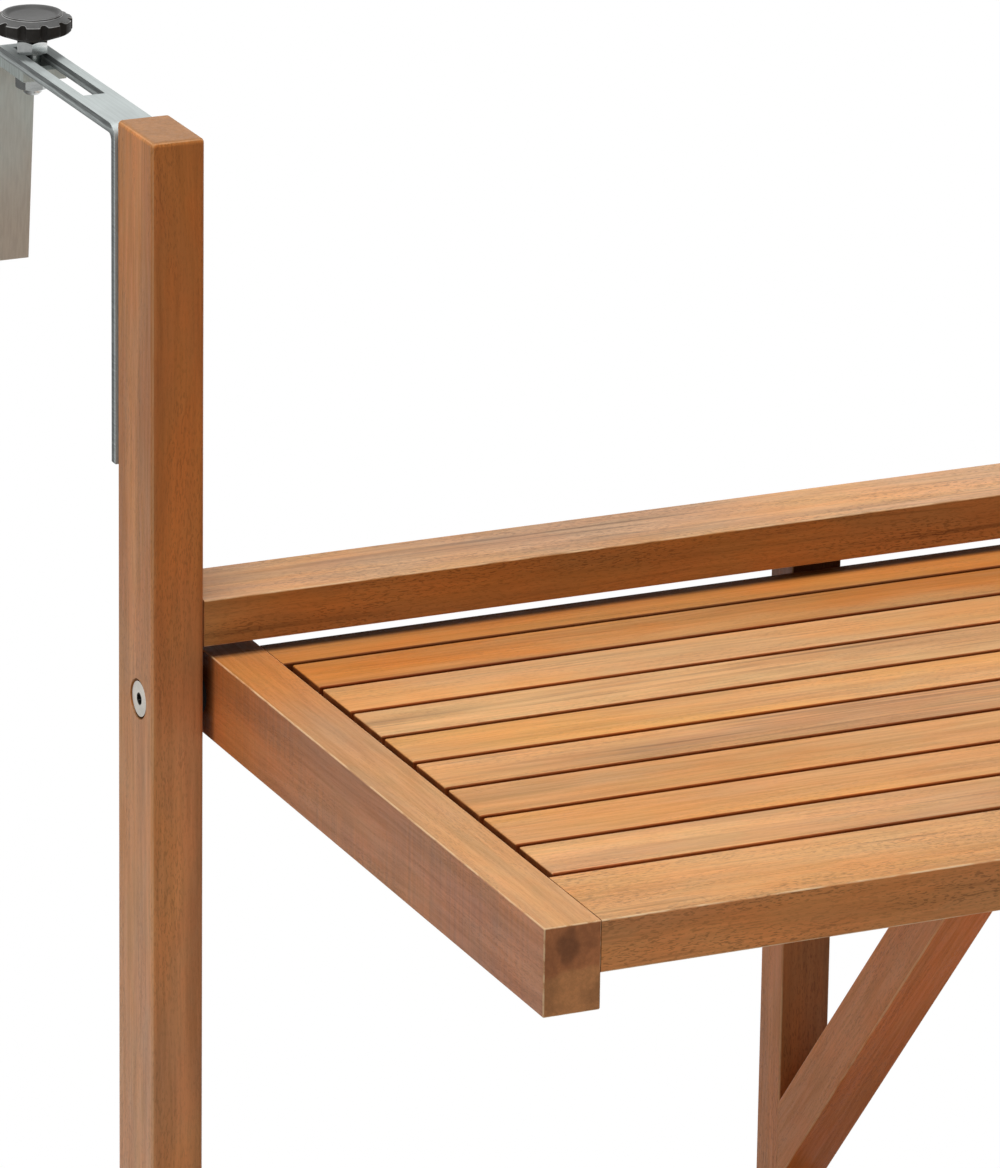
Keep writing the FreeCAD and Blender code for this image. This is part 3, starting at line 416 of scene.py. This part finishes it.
# Steel, plastic and nylon
# Painted shade of the pivot bolt's socket: its y, z and radius
PIVOT_SOCKET_SHADE = (-0.0239, -0.2441, 0.0026)
strap_zinc = zinc("strap_zinc", (0.402, 0.432, 0.427), 0.72, ALONG_Y, 0.04, edge=0.85, painted_seam_shade=True)
hook_zinc = zinc("hook_zinc", (0.5, 0.543, 0.519), 0.68, ALONG_Z, edge=0.6,
                 fade=(-0.02, -0.09, (0.94, 0.77, 0.68)))
small_zinc = zinc("fastener_zinc", (0.56, 0.57, 0.56), 0.3, ALONG_X)
pivot_zinc = zinc("pivot_zinc", (0.5, 0.47, 0.42), 0.35, ALONG_X, 0.15, socket=PIVOT_SOCKET_SHADE)
# The nut and bolt carry painted shade on their -x flats
nut_zinc = zinc("nut_zinc", (0.74, 0.77, 0.76), 0.22, ALONG_X, 0.12, painted_facet_shade=0.4)
bolt_zinc = zinc("bolt_zinc", (0.56, 0.58, 0.57), 0.25, ALONG_X, 0.15, painted_facet_shade=0.15)
knob_black = plastic("knob_plastic", (0.032, 0.0295, 0.027), 0.45, (0.135, 0.135, 0.133))
nylon = plastic("washer_nylon", (0.03, 0.03, 0.03), 0.55)
ON_EACH_SIDE = {"_strap": strap_zinc, "_hook": hook_zinc, "_knob": knob_black, "_pivot_washer": nylon,
                "_clamp_nut": nut_zinc, "_clamp_bolt": bolt_zinc, "_clamp_washer": bolt_zinc,
                "_pivot_bolt": pivot_zinc, "_pivot_insert": pivot_zinc}
for part, material in ON_EACH_SIDE.items():
    paint("left" + part, material)
    paint("right" + part, material)
for part in ("strap_screws", "slat_screws", "gate_pins"):
    paint(part, small_zinc)
paint("gate_washers", nylon)

# Knobs: a turned profile with rounded corners, cut by scallops
KNOB_RADIUS = 0.0174
KNOB_FOOT = 0.0065
KNOB_BORE = 0.00405
KNOB_BORE_HEIGHT = 0.0087
KNOB_SCALLOPS = 11
KNOB_STEPS = KNOB_SCALLOPS * 20
KNOB_TURN = math.radians(5)
SCALLOP_RADIUS = 0.0019
SCALLOP_DEPTH = 0.002
SCALLOP_BLEND = 0.0003
RIM_OUTER = KNOB_RADIUS - 0.0043
RIM_INNER = RIM_OUTER - 0.0011
CORNER_CUT = 0.0005
CORNER_STEPS = 4
CORNER_SHARE = 0.45  # the most of a run that one corner takes
LONGEST_RUN = 0.0005


def rounded_corners(points):
    """The same line with each corner turned into a short curve."""
    made = [points[0]]
    for before, here, after in zip(points, points[1:], points[2:]):
        here = Vector(here)
        to_before = Vector(before) - here
        to_after = Vector(after) - here
        start = here + to_before.normalized() * min(CORNER_CUT, to_before.length * CORNER_SHARE)
        stop = here + to_after.normalized() * min(CORNER_CUT, to_after.length * CORNER_SHARE)
        for step in range(CORNER_STEPS + 1):
            share = step / CORNER_STEPS
            made.append(tuple(start.lerp(here, share).lerp(here.lerp(stop, share), share)))
    made.append(points[-1])
    return made


def divided(points):
    """The same line with its long runs cut into equal shorter ones."""
    made = [points[0]]
    for here, after in zip(points, points[1:]):
        parts = max(1, math.ceil(math.dist(here, after) / LONGEST_RUN))
        for step in range(1, parts + 1):
            share = step / parts
            made.append((here[0] + (after[0] - here[0]) * share, here[1] + (after[1] - here[1]) * share))
    return made


def knob_profile(height):
    """Radius and rise, from the bore's mouth up the outside to the middle of the dished top."""
    return divided(rounded_corners([
        (KNOB_BORE, 0.0), (KNOB_FOOT, 0.0), (KNOB_RADIUS - 0.001, 0.0039), (KNOB_RADIUS, 0.0049),
        (KNOB_RADIUS, height - 0.0027), (RIM_OUTER, height - 0.0011), (RIM_OUTER, height),
        (RIM_INNER, height), (RIM_INNER - 0.0019, height - 0.0016), (0.0, height - 0.0021)]))


def scallop_limit(angle):
    """How far from the axis the scallops let the knob reach at an angle."""
    pitch = 2 * math.pi / KNOB_SCALLOPS
    away = (angle + pitch / 2) % pitch - pitch / 2
    centre = KNOB_RADIUS + SCALLOP_RADIUS - SCALLOP_DEPTH
    inside = SCALLOP_RADIUS ** 2 - (centre * math.sin(away)) ** 2
    if inside <= 0:
        return KNOB_RADIUS * 2
    return centre * math.cos(away) - math.sqrt(inside)


def scalloped(radius, angle):
    """The radius where no scallop cuts it, with a soft edge between the two."""
    limit = scallop_limit(angle)
    gap = max(SCALLOP_BLEND - abs(radius - limit), 0.0)
    return min(radius, limit) - gap * gap / SCALLOP_BLEND / 4


def mesh_piece(name, points, faces, material, smooth=True):
    mesh = bpy.data.meshes.new(name)
    mesh.from_pydata(points, [], faces)
    mesh.validate()
    piece = bpy.data.objects.new(name, mesh)
    bpy.context.scene.collection.objects.link(piece)
    mesh.materials.append(material)
    for face in mesh.polygons:
        face.use_smooth = smooth
    return piece


def knob(name, node, turned, washer):
    """A knob of the node's height, about the washer's axis."""
    low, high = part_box(washer)
    axis = (low + high) / 2
    low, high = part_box(node)
    points, faces = [], []

    def ring(rise, reach):
        """Points round the axis, at the distance that reach gives for each angle."""
        for step in range(KNOB_STEPS):
            angle = 2 * math.pi * step / KNOB_STEPS
            away = reach(angle)
            points.append((axis.x + away * math.cos(angle), axis.y + away * math.sin(angle), low.z + rise))

    def band(first, second):
        """Faces between the rings that start at two points."""
        for step in range(KNOB_STEPS):
            after = (step + 1) % KNOB_STEPS
            faces.append((first + step, first + after, second + after, second + step))

    def cap(first, rise, upward):
        """Faces from a ring to one point on the axis."""
        points.append((axis.x, axis.y, low.z + rise))
        tip = len(points) - 1
        for step in range(KNOB_STEPS):
            here = first + step
            after = first + (step + 1) % KNOB_STEPS
            faces.append((here, after, tip) if upward else (tip, after, here))

    *outside, (_, top) = knob_profile(high.z - low.z)
    for radius, rise in outside:
        ring(rise, lambda angle: scalloped(radius, angle - turned))
    rows = [row * KNOB_STEPS for row in range(len(outside))]
    for lower, upper in zip(rows, rows[1:]):
        band(lower, upper)
    cap(rows[-1], top, upward=True)
    bore = len(points)
    ring(KNOB_BORE_HEIGHT, lambda angle: KNOB_BORE)
    band(bore, rows[0])
    cap(bore, KNOB_BORE_HEIGHT, upward=False)
    return mesh_piece(name, points, faces, knob_black)


for side, turned in (("left", KNOB_TURN), ("right", -KNOB_TURN)):
    piece = knob(side + "_knob_head_detail", side + "_knob", turned, side + "_clamp_washer")
    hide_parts(side + "_knob")
    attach(piece, side + "_knob_head")

# Floor: white as the camera sees it, with the shadow kept, and greyer in the light that it bounces
FLOOR_DROP = 0.0005
FLOOR_REACH = 30.0
FLOOR_BOUNCED = (0.56, 0.56, 0.56, 1.0)
FLOOR_SEEN = (0.96, 0.96, 0.96, 1.0)
FLOOR_GLOW = 0.85
web = Web(bpy.data.materials.new("floor_paint"))
seen = web.seen_directly()
web.set(Base_Color=web.mix(seen, FLOOR_BOUNCED, FLOOR_SEEN), Roughness=0.9, Specular_IOR_Level=0.0)
glow = web.node("ShaderNodeEmission", {"Color": WHITE, "Strength": 1.0})
glow_share = web.math("MULTIPLY", seen, FLOOR_GLOW)
web.show("Material Output", web.mix_shaders(glow_share, web.surface.outputs[0], glow.outputs[0]))
corners = [(x * FLOOR_REACH, y * FLOOR_REACH, cad_low.z - FLOOR_DROP)
           for x, y in ((-1, -1), (1, -1), (1, 1), (-1, 1))]
floor = mesh_piece("floor", corners, [(0, 1, 2, 3)], web.owner, smooth=False)

# World: white behind the object, and a weak light all round
WORLD_LIGHT = 0.12
world = bpy.data.worlds.new("studio")
bpy.context.scene.world = world
web = Web(world)
around = web.tree.nodes["Background"]
around.inputs["Color"].default_value = WHITE
around.inputs["Strength"].default_value = WORLD_LIGHT
behind = web.node("ShaderNodeBackground", {"Color": WHITE, "Strength": 1.0})
web.show("World Output", web.mix_shaders(web.seen_directly(), around.outputs[0], behind.outputs[0]))

LAMP_DISTANCE = 3.0


def sun(name, direction, strength, spread):
    lamp = bpy.data.lights.new(name, "SUN")
    lamp.energy = strength
    lamp.angle = math.radians(spread)
    holder = bpy.data.objects.new(name, lamp)
    bpy.context.scene.collection.objects.link(holder)
    holder.rotation_mode = "QUATERNION"
    holder.rotation_quaternion = Vector(direction).to_track_quat("-Z", "Y")
    holder.location = -Vector(direction) * LAMP_DISTANCE


sun("overhead", (0.05, 0.03, -1.0), 2.75, 22)
sun("from_left", (1.0, 0.05, -0.3), 0.55, 60)

# Camera, fitted to the photograph's straight edges
AZIMUTH = math.radians(24.521)
ELEVATION = math.radians(19.139)
ROLL = math.radians(0.823)
CAMERA_AT = (-1.59253, -3.17440, 0.98769)
FOCAL_PIXELS = 8422.1
PICTURE_HEIGHT = 1168
ahead = Vector((math.sin(AZIMUTH) * math.cos(ELEVATION), math.cos(AZIMUTH) * math.cos(ELEVATION),
                -math.sin(ELEVATION)))
level = Vector((math.cos(AZIMUTH), -math.sin(AZIMUTH), 0.0))
raised = level.cross(ahead)
camera_x = math.cos(ROLL) * level + math.sin(ROLL) * raised
camera_y = -math.sin(ROLL) * level + math.cos(ROLL) * raised
lens = bpy.data.cameras.new("photo_camera")
lens.sensor_width = 36.0
lens.lens = FOCAL_PIXELS / PICTURE_HEIGHT * lens.sensor_width
lens.clip_end = 100.0
camera = bpy.data.objects.new("photo_camera", lens)
bpy.context.scene.collection.objects.link(camera)
facing = Matrix((camera_x, camera_y, -ahead)).transposed()
camera.matrix_world = Matrix.Translation(CAMERA_AT) @ facing.to_4x4()
bpy.context.scene.camera = camera

bpy.context.scene.view_settings.view_transform = "Standard"
